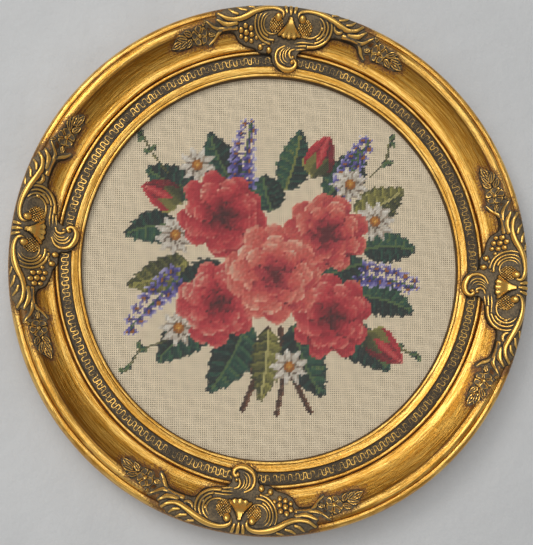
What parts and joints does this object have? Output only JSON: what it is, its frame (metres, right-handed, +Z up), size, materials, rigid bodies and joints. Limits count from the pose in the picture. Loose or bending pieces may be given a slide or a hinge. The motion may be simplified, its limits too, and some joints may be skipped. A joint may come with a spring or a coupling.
{
  "type": "needlepoint canvas panel in a round gilt frame",
  "caption": "Wool needlepoint posy on an even-weave canvas round, held in the rabbet of a coved gilt moulding with cast scroll cartouches; hangs flat on a wall.",
  "frame": {"origin": "centre of the framed panel's bounding box", "axes": "+Z up as it hangs, -Y out of the picture face, +Y into the wall"},
  "size_m": [0.4406, 0.0394, 0.452],
  "materials": {
    "gilt": "burnished gold-coloured leaf over red bole on a gessoed wood moulding, rubbed on the ridges and dark in the grooves",
    "antique_gilt": "cast composition ornament, taupe-brown patina with gold rubbed on the high points",
    "canvas": "unbleached even-weave cotton canvas worked in slanting wool stitches"
  },
  "bodies": {
    "root": {"moulding": "gilt", "canvas": "canvas", "cartouche_top": "antique_gilt", "cartouche_right": "antique_gilt", "cartouche_bottom": "antique_gilt", "cartouche_left": "antique_gilt"}
  },
  "joints": []
}
